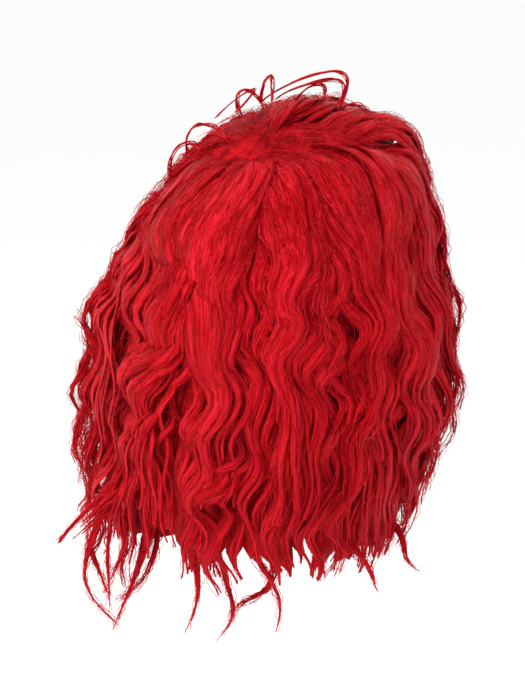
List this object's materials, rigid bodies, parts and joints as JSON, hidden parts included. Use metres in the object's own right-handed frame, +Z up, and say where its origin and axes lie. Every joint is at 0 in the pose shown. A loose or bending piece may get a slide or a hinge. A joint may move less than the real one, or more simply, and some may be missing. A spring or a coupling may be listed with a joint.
{
  "type": "clown wig",
  "caption": "Long wavy red costume wig: a net cap with an elastic edge, covered in loose hanging locks that part at the back of the crown and end in thin twisted tips.",
  "frame": {"origin": "the crown of the head that wears it: the inside of the cap at its top, on the head's vertical axis", "axes": "+Z up along the head's axis, the face looks along -Y, +X is the wearer's left"},
  "size_m": [0.2686, 0.2505, 0.3588],
  "materials": {
    "net": "black-red knitted net",
    "elastic": "dark woven elastic",
    "hair": "silky bright red synthetic fibre in waves"
  },
  "bodies": {
    "root": {"cap_net": "net", "edge_band": "elastic", "hair_crown": "hair", "hair_back": "hair", "hair_left": "hair", "hair_right": "hair", "hair_fringe": "hair"}
  },
  "joints": []
}
